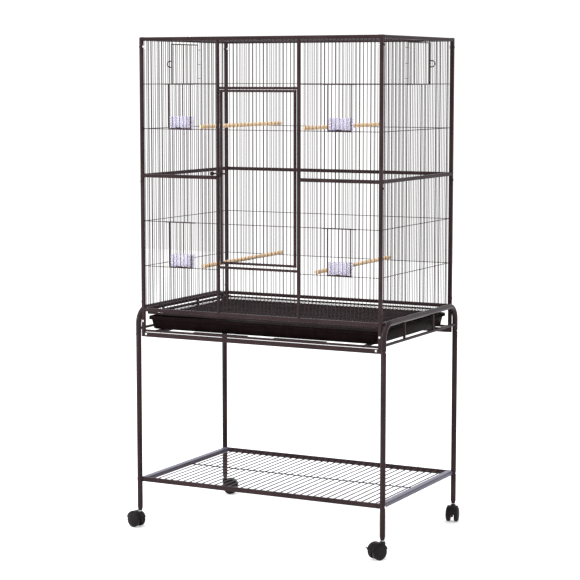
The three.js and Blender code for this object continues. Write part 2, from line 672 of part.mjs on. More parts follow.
function wheels() {
  const near = (WHEEL_TRACK - WHEEL_WIDTH) / 2;
  const far = near + WHEEL_WIDTH;
  const half = [
    [AXLE_R, near], [WHEEL_R - 2.5, near], [WHEEL_R, near + 4],
    [WHEEL_R, far - 5], [WHEEL_R - 3, far], [0, far],
  ];
  const mirrored = half.map(([r, z]) => [r, -z]).reverse();
  return turned([...mirrored, ...half], 16).rotateX(Math.PI / 2);
}
for (const caster of CASTERS) {
  const swivel = group(caster.x, caster.y, 0, caster.heading);
  place(`caster_hood_${caster.name}`, hood(), CASTER_PLASTIC, swivel);
  place(`caster_wheels_${caster.name}`, wheels(), CASTER_PLASTIC, swivel).position.set(TRAIL, 0, WHEEL_R);
}

// Brake lever on the front right caster, hinged on the hood above the trailing side.
const brakeCaster = CASTERS[1];
const brakeHolder = group(brakeCaster.x, brakeCaster.y, 0, brakeCaster.heading);
const leverOutline = [[0, 0], [9.5, 3.2], [10, 5], [0, 2.4]];
const lever = new THREE.Shape(leverOutline.map(([x, z]) => new THREE.Vector2(x, z)));
const hingeR = HOOD_R + GAP;
const leverX = TRAIL + hingeR * Math.cos(BRAKE_ANGLE);
const leverZ = WHEEL_R + hingeR * Math.sin(BRAKE_ANGLE);
place('caster_brake_lever', slab(lever, 16, 1, leverX, leverZ), CASTER_PLASTIC, brakeHolder);

export default cage;
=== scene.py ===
"""Looks of a flight cage on a rolling stand, built around its CAD frame.

The CAD wires are square and coarse, so most nodes are replaced here by round wires, rounded tubes,
turned and moulded pieces in the same places. Shapes are built in millimetres and stored in metres.
"""
import json
import math

import bmesh
import bpy
from mathutils import Matrix, Vector


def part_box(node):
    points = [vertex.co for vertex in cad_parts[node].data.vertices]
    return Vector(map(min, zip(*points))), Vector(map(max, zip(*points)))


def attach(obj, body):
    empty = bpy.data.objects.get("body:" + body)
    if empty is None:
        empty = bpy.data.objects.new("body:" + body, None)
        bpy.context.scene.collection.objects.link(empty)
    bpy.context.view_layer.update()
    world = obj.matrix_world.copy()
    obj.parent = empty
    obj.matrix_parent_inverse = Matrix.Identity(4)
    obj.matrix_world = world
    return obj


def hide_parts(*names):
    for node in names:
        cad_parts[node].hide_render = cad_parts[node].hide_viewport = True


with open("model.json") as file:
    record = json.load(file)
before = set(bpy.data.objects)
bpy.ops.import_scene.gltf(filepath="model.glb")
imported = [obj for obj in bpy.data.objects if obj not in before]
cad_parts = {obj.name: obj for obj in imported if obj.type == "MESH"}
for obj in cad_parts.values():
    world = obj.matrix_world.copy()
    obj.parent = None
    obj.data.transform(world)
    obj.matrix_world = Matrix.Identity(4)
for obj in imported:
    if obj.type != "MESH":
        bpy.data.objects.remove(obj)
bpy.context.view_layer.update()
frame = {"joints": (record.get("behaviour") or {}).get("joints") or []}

MM = 0.001

# ---- Sizes in millimetres that a node's box doesn't give ----
WIRE_R = 0.85
EDGE_R = 1.5                  # heavier wire round the openings and nest doors
FEEDER_EDGE_R = 1.15
SHELF_WIRE_R = 1.6
WIRE_DEPTH = 2.0              # upright wires, inward of the tube's middle
CROSS_DEPTH = 4.0             # cross wires, pressed a little into the uprights
PITCH = 11.05
DOOR_PITCH = 11.25
SHELF_PITCH = 20.0
SHELF_SIDE_X = 359
SHELF_SIDE_WIDTH = 20
GRATE_PITCH = 11.05
CROSS_WIRES = (728, 851, 1101, 1221)
MID_RAIL_Z = 974.5
TUBE = 9.5
TUBE_ROUND = 1.4
FLARE = 0.6                   # weld fillet where a wire meets a tube
NEST_HINGE_Z = (1236, 1275, 1316)
NEST_PULL_REACH = 12
NEST_PULL_R = 8.2
DOOR_CROSS_WIRES = (851, 1101)
HEADER_HEIGHT = 6.8
SILL_HEIGHT = 6.6
CUP_DEPTH = 32
CUP_HOOK_X = 14
GRATE_REACH_Y = 224
GRATE_SIDE_X = (-9, 3)        # side bars of the grate, from its CAD edge
GRATE_SIDE_Z = (-2.4, 4)      # and from the level of its wires
TRAY_RIM_OVER = 2.5           # rim beyond the CAD tray on each side
RUNNER_X = (304, 322)         # angle under each side of the tray
RUNNER_LEG_X = (304.4, 306.4)
TRAY_PLATES = ((-205, -40), (40, 195))
TRAY_PLATE_REACH = 20
STRUT_Y = (-108, 82)
SCREW_LEVELS = (630, 958, 1321)
LEG_SCREW_LEVELS = (136, 540)
FLOOR_REACH = 7               # metres


def box(node):
    """Lowest and highest corner of a CAD node, in millimetres."""
    low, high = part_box(node)
    return low / MM, high / MM


def middle(node):
    low, high = box(node)
    return (low + high) / 2


JOINTS = {j["name"]: j for j in frame["joints"]}
POST_X, POST_Y = (abs(c) for c in middle("corner_post_front_right")[:2])
CAGE_TOP = box("front_top_rail")[1].z
CAGE_BOTTOM = box("front_bottom_rail")[0].z
LEG_X, LEG_Y = (abs(c) for c in middle("leg_front_right")[:2])
SIDES = {"left": -1, "right": 1}
ENDS = {"front": -1, "rear": 1}


# ---- Mesh building ----
def circle(radius, sides=8):
    """Points of a round section, anticlockwise."""
    return [(radius * math.cos(2 * math.pi * k / sides), radius * math.sin(2 * math.pi * k / sides))
            for k in range(sides)]


def rounded(width, height, radius, steps=3):
    """Points of a rectangle with rounded corners, anticlockwise from the lower right corner."""
    radius = max(min(radius, width / 2 - 0.01, height / 2 - 0.01), 0.02)
    points = []
    for corner, (sx, sy) in enumerate([(1, -1), (1, 1), (-1, 1), (-1, -1)]):
        cx = sx * (width / 2 - radius)
        cy = sy * (height / 2 - radius)
        for k in range(steps + 1):
            angle = math.radians(-90 + 90 * corner + 90 * k / steps)
            points.append((cx + radius * math.cos(angle), cy + radius * math.sin(angle)))
    return points


class Shape:
    """Closed surfaces gathered into one mesh. Points go through `at` before they are stored."""

    def __init__(self, at=None):
        self.at = at or Matrix.Identity(4)
        self.points = []
        self.faces = []

    def loft(self, rings, closed=False):
        """Skin over rings of points, capped at both ends unless the last ring meets the first."""
        start = len(self.points)
        sides = len(rings[0])
        count = len(rings)
        for ring in rings:
            self.points.extend(self.at @ Vector(p) for p in ring)
        for i in range(count if closed else count - 1):
            a = start + i * sides
            b = start + ((i + 1) % count) * sides
            for k in range(sides):
                j = (k + 1) % sides
                self.faces.append((a + k, a + j, b + j, b + k))
        if not closed:
            self.faces.append(tuple(range(start + sides - 1, start - 1, -1)))
            self.faces.append(tuple(range(start + (count - 1) * sides, start + count * sides)))

    def sweep(self, path, section, up=(0, 0, 1), closed=False, scales=None):
        """Carries a section along a path. `up` is the section's own vertical at the first point."""
        path = [Vector(p) for p in path]
        count = len(path)
        up = Vector(up)
        rings = []
        for i, point in enumerate(path):
            before = path[i - 1] if i or closed else point
            after = path[(i + 1) % count] if i < count - 1 or closed else point
            tangent = (after - before).normalized()
            up = (up - tangent * up.dot(tangent)).normalized()
            side = up.cross(tangent)
            k = scales[i] if scales else 1
            rings.append([point + side * (u * k) + up * (v * k) for u, v in section])
        self.loft(rings, closed)

    def rod(self, a, b, radius, sides=8, flare=0.0):
        """Straight round wire. `flare` widens its two ends into a weld fillet."""
        a, b = Vector(a), Vector(b)
        along = (b - a).normalized()
        up = Vector((1, 0, 0)) if abs(along.x) < 0.9 else Vector((0, 0, 1))
        if flare:
            path = [a, a + along * 1.6, b - along * 1.6, b]
            scales = [1 + flare, 1, 1, 1 + flare]
        else:
            tip = min(0.4 * radius, 0.25 * (b - a).length)
            path = [a, a + along * tip, b - along * tip, b]
            scales = [0.7, 1, 1, 0.7]
        self.sweep(path, circle(radius, sides), up, scales=scales)

    def bar(self, low, high, radius=TUBE_ROUND, chamfer=0.5, steps=3):
        """Square bar or tube along its longest side, with rounded edges and eased ends."""
        low, high = Vector(low), Vector(high)
        size = high - low
        axis = max(range(3), key=lambda k: size[k])
        u_axis, v_axis = (axis + 1) % 3, (axis + 2) % 3
        mid = (low + high) / 2
        rings = []
        for along, inset in ((low[axis], chamfer), (low[axis] + chamfer, 0),
                             (high[axis] - chamfer, 0), (high[axis], chamfer)):
            ring = []
            width = size[u_axis] - 2 * inset
            height = size[v_axis] - 2 * inset
            for u, v in rounded(width, height, radius - inset / 2, steps):
                point = mid.copy()
                point[axis] = along
                point[u_axis] += u
                point[v_axis] += v
                ring.append(point)
            rings.append(ring)
        self.loft(rings)

    def lathe(self, profile, origin=(0, 0, 0), axis=(0, 0, 1), sides=24):
        """Turned solid from (radius, height) points that start and end near the axis."""
        origin, axis = Vector(origin), Vector(axis).normalized()
        up = Vector((1, 0, 0)) if abs(axis.x) < 0.9 else Vector((0, 0, 1))
        u = (up - axis * up.dot(axis)).normalized()
        v = axis.cross(u)
        rings = []
        for radius, height in profile:
            section = circle(max(radius, 0.02), sides)
            rings.append([origin + axis * height + u * x + v * y for x, y in section])
        self.loft(rings)

    def ring(self, centre, axis, radius, thickness, sides=16, section=6):
        """Wire ring round an axis."""
        centre, axis = Vector(centre), Vector(axis).normalized()
        up = Vector((1, 0, 0)) if abs(axis.x) < 0.9 else Vector((0, 0, 1))
        u = (up - axis * up.dot(axis)).normalized()
        v = axis.cross(u)
        path = [centre + u * x + v * y for x, y in circle(radius, sides)]
        self.sweep(path, circle(thickness, section), axis, closed=True)

    def nugget(self, centre, radius=1.25):
        """Spot weld where two wires cross."""
        profile = [(0.5 * radius, -radius), (radius, -0.4 * radius),
                   (radius, 0.4 * radius), (0.5 * radius, radius)]
        self.lathe(profile, centre, (0, 1, 0), 6)

    def bead(self, centre, axis, width, height, radius=0.9):
        """Weld bead round the end of a square tube."""
        centre, axis = Vector(centre), Vector(axis).normalized()
        up = Vector((0, 0, 1)) if abs(axis.z) < 0.9 else Vector((0, 1, 0))
        side = up.cross(axis)
        path = [centre + side * u + up * v for u, v in rounded(width, height, TUBE_ROUND, 2)]
        self.sweep(path, circle(radius, 5), axis, closed=True)

    def screw(self, at, axis, radius=3.4, length=2.2):
        """Pan-head screw on a small washer, seen from outside."""
        profile = [(0, 0), (radius + 1.2, 0), (radius + 1.2, 0.7), (radius, 0.8), (radius, length * 0.5),
                   (radius * 0.8, length * 0.85), (radius * 0.35, length), (radius * 0.3, length * 0.6),
                   (0, length * 0.6)]
        self.lathe(profile, at, axis, 16)

    def wing_nut(self, at, axis):
        """Wing nut: a cone with two ears that stand across the axis."""
        self.lathe([(0, 0), (3.4, 0), (3.4, 1.2), (2.4, 3.8), (0, 3.8)], at, axis, 14)
        at, axis = Vector(at), Vector(axis).normalized()
        up = Vector((0, 0, 1)) if abs(axis.z) < 0.9 else Vector((0, 1, 0))
        for side in (-1, 1):
            path = [at + axis * 1.8 + up * side * 2, at + axis * 3.6 + up * side * 4.2,
                    at + axis * 5.6 + up * side * 5.2]
            self.sweep(path, rounded(2.6, 1.1, 0.5, 2), axis, scales=[1, 1.2, 0.8])


def piece(name, shape, material, slot, body, *nodes, smooth_angle=40):
    """A Blender object of the shape that rides on a body and may stand for CAD nodes."""
    mesh = bpy.data.meshes.new(name)
    mesh.from_pydata([p * MM for p in shape.points], [], shape.faces)
    mesh.validate()
    bm = bmesh.new()
    bm.from_mesh(mesh)
    bmesh.ops.recalc_face_normals(bm, faces=bm.faces)
    bm.to_mesh(mesh)
    bm.free()
    mesh.shade_smooth()
    mesh.set_sharp_from_angle(angle=math.radians(smooth_angle))
    mesh.materials.append(material)
    obj = bpy.data.objects.new(name, mesh)
    bpy.context.scene.collection.objects.link(obj)
    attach(obj, body)
    if nodes:
        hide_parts(*nodes)
    return obj


# ---- Materials ----
class Nodes:
    """A material's node tree, with short calls for what the finishes below share."""

    def __init__(self, name):
        self.material = bpy.data.materials.new(name)
        self.material.use_nodes = True
        self.tree = self.material.node_tree
        self.shader = self.tree.nodes["Principled BSDF"]
        self.coords = self.tree.nodes.new("ShaderNodeTexCoord").outputs["Object"]

    def add(self, kind, **settings):
        node = self.tree.nodes.new(kind)
        for key, value in settings.items():
            setattr(node, key, value)
        return node

    def link(self, a, b):
        self.tree.links.new(a, b)

    def noise(self, scale, detail=3.0, stretch=(1, 1, 1), roughness=0.5):
        """Noise in the object's own space. The scale is in features per metre."""
        mapping = self.add("ShaderNodeMapping")
        mapping.inputs["Scale"].default_value = stretch
        self.link(self.coords, mapping.inputs["Vector"])
        node = self.add("ShaderNodeTexNoise")
        node.inputs["Scale"].default_value = scale
        node.inputs["Detail"].default_value = detail
        node.inputs["Roughness"].default_value = roughness
        self.link(mapping.outputs["Vector"], node.inputs["Vector"])
        return node.outputs["Fac"]

    def ramp(self, factor, stops):
        node = self.add("ShaderNodeValToRGB")
        elements = node.color_ramp.elements
        while len(elements) < len(stops):
            elements.new(0.5)
        for element, (position, colour) in zip(elements, stops):
            element.position = position
            element.color = (*colour, 1)
        self.link(factor, node.inputs["Fac"])
        return node.outputs["Color"]

    def spread(self, factor, low, high):
        node = self.add("ShaderNodeMapRange")
        node.inputs["From Min"].default_value = 0.3
        node.inputs["From Max"].default_value = 0.7
        node.inputs["To Min"].default_value = low
        node.inputs["To Max"].default_value = high
        self.link(factor, node.inputs["Value"])
        return node.outputs["Result"]

    def bump(self, height, strength, distance):
        node = self.add("ShaderNodeBump")
        node.inputs["Strength"].default_value = strength
        node.inputs["Distance"].default_value = distance
        self.link(height, node.inputs["Height"])
        self.link(node.outputs["Normal"], self.shader.inputs["Normal"])


def scaled(colour, factor):
    return tuple(c * factor for c in colour)


def coat(name, colour, rough, level, sheen=0.05):
    """Powder coat: fine orange peel, faint drift of tone, slightly uneven gloss, and a bluish sheen on
    grazing faces that is a painted highlight.
    """
    n = Nodes(name)
    drift = n.noise(14, 4)
    stops = [(0.3, scaled(colour, 0.75)), (0.7, scaled(colour, 1.3))]
    n.link(n.ramp(drift, stops), n.shader.inputs["Base Color"])
    n.link(n.spread(n.noise(60, 3), rough - 0.06, rough + 0.08), n.shader.inputs["Roughness"])
    n.bump(n.noise(900, 2), 0.12, 0.0003)
    n.shader.inputs["Specular IOR Level"].default_value = level
    # Bluish sheen on grazing faces: a painted highlight on the tops of the tubes.
    n.shader.inputs["Sheen Weight"].default_value = sheen
    n.shader.inputs["Sheen Tint"].default_value = (0.62, 0.66, 1, 1)
    return n.material


def moulded(name, colour, rough, grain, level):
    """Moulded plastic with a fine grain and soft scuffs."""
    n = Nodes(name)
    scuffs = n.noise(40, 5, (1, 1, 1), 0.6)
    stops = [(0.35, scaled(colour, 0.8)), (0.75, scaled(colour, 1.5))]
    n.link(n.ramp(scuffs, stops), n.shader.inputs["Base Color"])
    n.link(n.spread(scuffs, rough, rough + 0.14), n.shader.inputs["Roughness"])
    n.bump(n.noise(1400, 2), grain, 0.0002)
    n.shader.inputs["Specular IOR Level"].default_value = level
    return n.material


def clear_plastic():
    """Tinted clear plastic of the cups, with faint flow marks."""
    n = Nodes("cup_plastic")
    flow = n.noise(30, 3, (1, 1, 0.3))
    stops = [(0.3, (0.68, 0.65, 0.78)), (0.7, (0.78, 0.75, 0.86))]
    n.link(n.ramp(flow, stops), n.shader.inputs["Base Color"])
    n.link(n.spread(flow, 0.16, 0.28), n.shader.inputs["Roughness"])
    n.bump(n.noise(500, 2), 0.05, 0.0002)
    n.shader.inputs["IOR"].default_value = 1.49
    n.shader.inputs["Transmission Weight"].default_value = 0.35
    n.shader.inputs["Alpha"].default_value = 0.6
    return n.material


def wood():
    """Pale dowel wood with grain along the perch."""
    n = Nodes("perch_wood")
    grain = n.noise(420, 6, (1, 0.03, 1), 0.65)
    pores = n.noise(1500, 3, (1, 0.05, 1), 0.5)
    stops = [(0.30, (0.44, 0.27, 0.13)), (0.48, (0.66, 0.46, 0.27)), (0.70, (0.78, 0.59, 0.38))]
    n.link(n.ramp(grain, stops), n.shader.inputs["Base Color"])
    n.link(n.spread(pores, 0.5, 0.72), n.shader.inputs["Roughness"])
    n.bump(pores, 0.25, 0.0003)
    return n.material


def metal(name, colour, rough):
    """Plated steel with fine drawn lines."""
    n = Nodes(name)
    lines = n.noise(500, 3, (1, 1, 0.1))
    n.link(n.ramp(lines, [(0.3, scaled(colour, 0.8)), (0.7, colour)]), n.shader.inputs["Base Color"])
    n.link(n.spread(lines, rough, rough + 0.15), n.shader.inputs["Roughness"])
    n.bump(lines, 0.05, 0.0001)
    n.shader.inputs["Metallic"].default_value = 1.0
    return n.material


FRAME_COLOUR = (0.029, 0.0175, 0.0175)
FRAME_COAT = coat("frame_coat", FRAME_COLOUR, 0.22, 0.028)
WIRE_COAT = coat("wire_coat", scaled(FRAME_COLOUR, 1.15), 0.34, 0.06)
# Copy of the frame coat for the side arches, glossier, with its base darkened to 0.8 as painted shade.
ARCH_SHADED_COAT = coat("arch_shaded_coat", scaled(FRAME_COLOUR, 0.8), 0.15, 0.07)
# Lit copy of the frame coat for the shelf's side rails: more specular and a strong bluish sheen paint a
# highlight on their top faces.
SHELF_LIT_COAT = coat("shelf_highlight_coat", FRAME_COLOUR, 0.2, 0.12, 0.3)
TRAY_PLASTIC = moulded("tray_plastic", (0.0068, 0.0038, 0.0038), 0.3, 0.04, 0.006)
CASTER_PLASTIC = moulded("caster_plastic", (0.0115, 0.0090, 0.0095), 0.30, 0.08, 0.07)
CUP_PLASTIC = clear_plastic()
WOOD = wood()
STEEL = metal("pin_steel", (0.55, 0.55, 0.57), 0.28)
ZINC = metal("screw_zinc", (0.80, 0.79, 0.78), 0.35)


# ---- Wire walls ----
def wall(x, y, turn):
    """Frame of a wall: X along it, Y inward from the tubes' middle, Z up."""
    return Matrix.Translation((x, y, 0)) @ Matrix.Rotation(math.radians(turn), 4, "Z")


FRONT = wall(0, -POST_Y, 0)
WALLS = {
    "right": wall(POST_X, 0, 90),
    "left": wall(-POST_X, 0, -90),
    "back": wall(0, POST_Y, 180),
}


def spaced(count, pitch):
    """Offsets of evenly spaced wires, symmetric about zero."""
    return [(k - (count - 1) / 2) * pitch for k in range(count)]


def uprights(shape, offsets, low, high, openings=(), depth=WIRE_DEPTH):
    """Upright wires from low to high. An opening is (left, right, bottom, top)."""
    for u in offsets:
        bottom = low
        for left, right, z0, z1 in sorted(openings, key=lambda o: o[2]):
            if left < u < right:
                shape.rod((u, depth, bottom), (u, depth, z0), WIRE_R, flare=FLARE)
                bottom = z1
        if bottom < high:
            shape.rod((u, depth, bottom), (u, depth, high), WIRE_R, flare=FLARE)


def cross_wires(shape, offsets, levels, left, right, openings=()):
    """Cross wires inside the uprights, with a spot weld at each crossing."""
    for z in levels:
        shape.rod((left, CROSS_DEPTH, z), (right, CROSS_DEPTH, z), WIRE_R, flare=FLARE)
        for u in offsets:
            if not any(x0 < u < x1 and z0 < z < z1 for x0, x1, z0, z1 in openings):
                shape.nugget((u, (WIRE_DEPTH + CROSS_DEPTH) / 2, z))


def rails(shape, half, levels):
    """Square rails of a wall, with a weld bead at each end."""
    t = TUBE / 2
    for z in levels:
        shape.bar((-half, -t, z - t), (half, t, z + t))
        for side in SIDES.values():
            shape.bead((side * (half - 0.2), 0, z), (1, 0, 0), TUBE, TUBE, 0.7)


RAIL_LEVELS = (CAGE_BOTTOM + TUBE / 2, MID_RAIL_Z, CAGE_TOP - TUBE / 2)
INNER_LOW = CAGE_BOTTOM + TUBE
INNER_HIGH = CAGE_TOP - TUBE
nest_low, nest_high = box("nest_door_right")
NEST_HALF = (nest_high.y - nest_low.y) / 2 - EDGE_R
NEST_Z = (nest_low.z + EDGE_R, nest_high.z - EDGE_R)


def wall_panels():
    for name, at in WALLS.items():
        half = (POST_X if name == "back" else POST_Y) - TUBE / 2
        openings = [] if name == "back" else [(-NEST_HALF, NEST_HALF, NEST_Z[0], CAGE_TOP)]
        offsets = spaced(2 * math.floor((half - 5.3) / PITCH) + 1, PITCH)
        tubes = Shape(at)
        rails(tubes, half, RAIL_LEVELS)
        piece(f"{name}_panel_rails", tubes, FRAME_COAT, "frame_coat", "frame", f"{name}_panel")
        wires = Shape(at)
        uprights(wires, offsets, INNER_LOW - 0.4, INNER_HIGH + 0.4, openings)
        cross_wires(wires, offsets, CROSS_WIRES, -half, half)
        if openings:
            wires.rod((-NEST_HALF - 6, 0.9, NEST_Z[0]), (NEST_HALF + 6, 0.9, NEST_Z[0]), EDGE_R)
        piece(f"{name}_panel_wires", wires, WIRE_COAT, "wire_coat", "frame")


def corner_posts():
    for end in ENDS:
        for side in SIDES:
            node = f"corner_post_{end}_{side}"
            post = Shape()
            post.bar(*box(node), radius=1.8, chamfer=1.2, steps=4)
            piece(f"{node}_tube", post, FRAME_COAT, "frame_coat", "frame", node)


# ---- Front face ----
feeder_low, feeder_high = box("feeder_door_upper_right")
FEEDER_X = (feeder_low.x + feeder_high.x) / 2
FEEDER_HALF = 3 * PITCH
LEVELS = {"upper": (1101, 1221), "lower": (728, 851)}
DIVIDER_X = middle("front_divider_right").x
DIVIDER = box("front_divider_right")[1].x - box("front_divider_right")[0].x
DOOR_LOW, DOOR_HIGH = box("front_door")
DOOR_TUBE = 6.4


def front_frame():
    tubes = Shape(FRONT)
    t = TUBE / 2
    half = POST_X - t
    rails(tubes, half, RAIL_LEVELS[::2])
    inner = DIVIDER_X + DIVIDER / 2
    for side in SIDES.values():
        x = side * DIVIDER_X
        tubes.bar((x - DIVIDER / 2, -DIVIDER / 2, INNER_LOW - 0.3),
                  (x + DIVIDER / 2, DIVIDER / 2, INNER_HIGH + 0.3))
        for z in (INNER_LOW, INNER_HIGH):
            tubes.bead((x, 0, z), (0, 0, 1), DIVIDER, DIVIDER, 0.7)
        left, right = sorted((side * inner, side * half))
        tubes.bar((left - 0.3, -t, MID_RAIL_Z - t), (right + 0.3, t, MID_RAIL_Z + t))
    nodes = ("front_top_rail", "front_bottom_rail", "front_divider_left", "front_divider_right")
    piece("front_face_tubes", tubes, FRAME_COAT, "frame_coat", "frame", *nodes)


def front_grilles():
    for side, sign in SIDES.items():
        wires = Shape(FRONT)
        centre = sign * FEEDER_X
        offsets = [centre + u for u in spaced(19, PITCH)]
        span = (centre - FEEDER_HALF, centre + FEEDER_HALF)
        openings = [(*span, *z) for z in LEVELS.values()]
        uprights(wires, offsets, INNER_LOW - 0.4, INNER_HIGH + 0.4, openings)
        left, right = sorted((sign * (DIVIDER_X + DIVIDER / 2), sign * (POST_X - TUBE / 2)))
        cross_wires(wires, offsets, CROSS_WIRES, left, right)
        for z0, z1 in LEVELS.values():
            for z in (z0, z1):
                wires.rod((span[0] - 3, WIRE_DEPTH, z), (span[1] + 3, WIRE_DEPTH, z), EDGE_R)
        piece(f"front_wires_{side}", wires, WIRE_COAT, "wire_coat", "frame", f"front_grille_{side}")


def doorway():
    for node, low, high in (("door_header", None, INNER_HIGH + 0.4), ("door_sill", INNER_LOW - 0.4, None)):
        beam = Shape()
        bottom, top = box(node)
        z0, z1 = (bottom.z, bottom.z + HEADER_HEIGHT) if high else (top.z - SILL_HEIGHT, top.z)
        beam.bar((bottom.x, bottom.y, z0), (top.x, top.y, z1), radius=1.2)
        piece(f"{node}_bar", beam, FRAME_COAT, "frame_coat", "frame", node)
        wires = Shape(FRONT)
        uprights(wires, spaced(20, DOOR_PITCH), low or z1 - 0.5, high or z0 + 0.5)
        piece(f"{node}_wires", wires, WIRE_COAT, "wire_coat", "frame")


def front_door():
    frame_tubes = Shape(FRONT)
    half = DOOR_HIGH.x
    low, high = DOOR_LOW.z, DOOR_HIGH.z
    t = DOOR_TUBE
    for z in (low + t / 2, high - t / 2):
        frame_tubes.bar((-half, -t / 2, z - t / 2), (half, t / 2, z + t / 2), radius=1.5)
    for side in SIDES.values():
        x = side * (half - t / 2)
        frame_tubes.bar((x - t / 2, -t / 2 + 0.05, low), (x + t / 2, t / 2 - 0.05, high), radius=1.5)
    piece("front_door_tubes", frame_tubes, FRAME_COAT, "frame_coat", "front_door", "front_door")
    wires = Shape(FRONT)
    offsets = spaced(18, DOOR_PITCH)
    uprights(wires, offsets, low + t - 0.4, high - t + 0.4, depth=1.4)
    for z in DOOR_CROSS_WIRES:
        wires.rod((-half + t - 0.4, -0.6, z), (half - t + 0.4, -0.6, z), WIRE_R, flare=FLARE)
        for u in offsets:
            wires.nugget((u, 0.4, z))
    piece("front_door_wires", wires, WIRE_COAT, "wire_coat", "front_door")
    for end in ("lower", "upper"):
        node = f"door_hinge_pin_{end}"
        pin_low, pin_high = box(node)
        centre = (pin_low + pin_high) / 2
        pin = Shape()
        length = pin_high.z - pin_low.z
        r = (pin_high.x - pin_low.x) / 2
        profile = [(0, 0), (r * 0.8, 0), (r, 0.5), (r, length - 0.5), (r * 0.8, length), (0, length)]
        pin.lathe(profile, (centre.x, centre.y, pin_low.z), sides=16)
        piece(f"{node}_turned", pin, STEEL, "pin_steel", "frame", node)


def latch():
    low, high = box("latch_guide")
    guide = Shape()
    centre = (low + high) / 2
    for z in (low.z + 3, high.z - 3):
        guide.bar((low.x - 2, high.y - 1.6, z - 3), (high.x + 2, high.y, z + 3), radius=0.7, chamfer=0.3)
    path = [(0, high.y, centre.z - 6.5), (0, low.y + 3, centre.z - 5.2), (0, low.y, centre.z - 2),
            (0, low.y, centre.z + 2), (0, low.y + 3, centre.z + 5.2), (0, high.y, centre.z + 6.5)]
    guide.sweep([(centre.x, y, z) for _, y, z in path], rounded(high.x - low.x, 1.6, 0.5), (0, -1, 0))
    piece("latch_guide_strap", guide, FRAME_COAT, "frame_coat", "front_door", "latch_guide")
    low, high = box("latch_bolt")
    bolt_y = box("latch_guide")[1].y - 4
    z = (low.z + high.z) / 2
    bolt = Shape()
    bolt.rod((low.x + 5.5, bolt_y, z), (high.x, bolt_y, z), 2.2, 14)
    piece("latch_bolt_rod", bolt, FRAME_COAT, "frame_coat", "latch_bolt", "latch_bolt")
    knob = Shape()
    depth = high.y - low.y
    profile = [(0, 0), (2.4, 0), (2.6, 3.2), (4.6, 4.2), (5.5, 5.6), (5.3, 7.2),
               (4.2, depth - 0.6), (2.4, depth), (0, depth)]
    knob.lathe([(r, h - 3.0) for r, h in profile], (low.x + 5.5, high.y - 3, z), (0, -1, 0), 28)
    piece("latch_knob", knob, CASTER_PLASTIC, "caster_plastic", "latch_bolt")


def feeder_doors():
    depth = -1.1
    for level, (z0, z1) in LEVELS.items():
        for side, sign in SIDES.items():
            door = Shape(FRONT @ Matrix.Translation((sign * FEEDER_X, 0, 0)))
            head = (feeder_high.x - feeder_low.x) / 2
            door.rod((-head, depth, z1), (head, depth, z1), EDGE_R)
            door.rod((-FEEDER_HALF, depth, z0 + 2), (FEEDER_HALF, depth, z0 + 2), FEEDER_EDGE_R)
            for s in SIDES.values():
                door.rod((s * FEEDER_HALF, depth, z0 + 2), (s * FEEDER_HALF, depth, z1), FEEDER_EDGE_R)
                door.ring((s * 4 * PITCH, WIRE_DEPTH - 0.4, z1), (0, 0, 1), 2.6, 0.8)
            for u in spaced(5, PITCH):
                door.rod((u, depth, z0 + 2), (u, depth, z1), WIRE_R)
            loop = [(-7, depth - 1, z0 + 3), (-6, depth - 6, z0 + 4), (0, depth - 8, z0 + 4.5),
                    (6, depth - 6, z0 + 4), (7, depth - 1, z0 + 3)]
            door.sweep(loop, circle(1.0, 8), (0, 0, 1))
            node = f"feeder_door_{level}_{side}"
            piece(f"{node}_wires", door, WIRE_COAT, "wire_coat", node, node)


def cups():
    for level in LEVELS:
        for side in SIDES:
            node = f"cup_{level}_{side}"
            low, high = box(node)
            depth = CUP_DEPTH
            centre = Vector(((low.x + high.x) / 2, high.y - depth / 2, low.z))
            width = high.x - low.x
            height = high.z - low.z
            # Outside from the bottom up, over the rim, and down the inside to the floor.
            levels = [(4.5, 0, 6), (1.6, 0.6, 8), (1.0, 2, 8.5), (0.8, height - 5, 9), (0.6, height - 3.4, 9),
                      (0, height - 2.8, 9), (0, height - 0.5, 9), (0.4, height, 9), (1.9, height, 7.5),
                      (2.4, height - 0.7, 7), (2.9, 4, 7), (3.6, 2.4, 6.5), (6, 1.8, 5)]
            cup = Shape(Matrix.Translation(centre))
            cup.loft([[(x, y, z) for x, y in rounded(width - 2 * inset, depth - 2 * inset, r, 6)]
                      for inset, z, r in levels])
            for s in SIDES.values():
                x = s * CUP_HOOK_X
                hook = [(x, -depth / 2 + 1, 8), (x, -depth / 2 - 4, 8), (x, -depth / 2 - 4.4, 5)]
                cup.sweep(hook, rounded(9, 1.8, 0.7), (0, 0, 1))
            piece(f"{node}_moulding", cup, CUP_PLASTIC, "cup_plastic", node, node)


def perches():
    for level in LEVELS:
        for side in SIDES:
            node = f"perch_{level}_{side}"
            low, high = box(node)
            centre = (low + high) / 2
            length = high.y - low.y
            r = (high.z - low.z) / 2
            profile = [(0, 0), (r - 1.4, 0), (r - 0.5, 0.3), (r, 1.2)]
            steps = 24
            for k in range(1, steps):
                wobble = 0.12 * math.sin(k * 1.9 + low.x) + 0.08 * math.sin(k * 4.3)
                profile.append((r - 0.15 + wobble, length * k / steps))
            profile += [(r, length - 1.2), (r - 0.5, length - 0.3), (r - 1.4, length), (0, length)]
            dowel = Shape()
            dowel.lathe(profile, (centre.x, low.y, centre.z), (0, 1, 0), 28)
            piece(f"{node}_dowel", dowel, WOOD, "perch_wood", "frame", node)


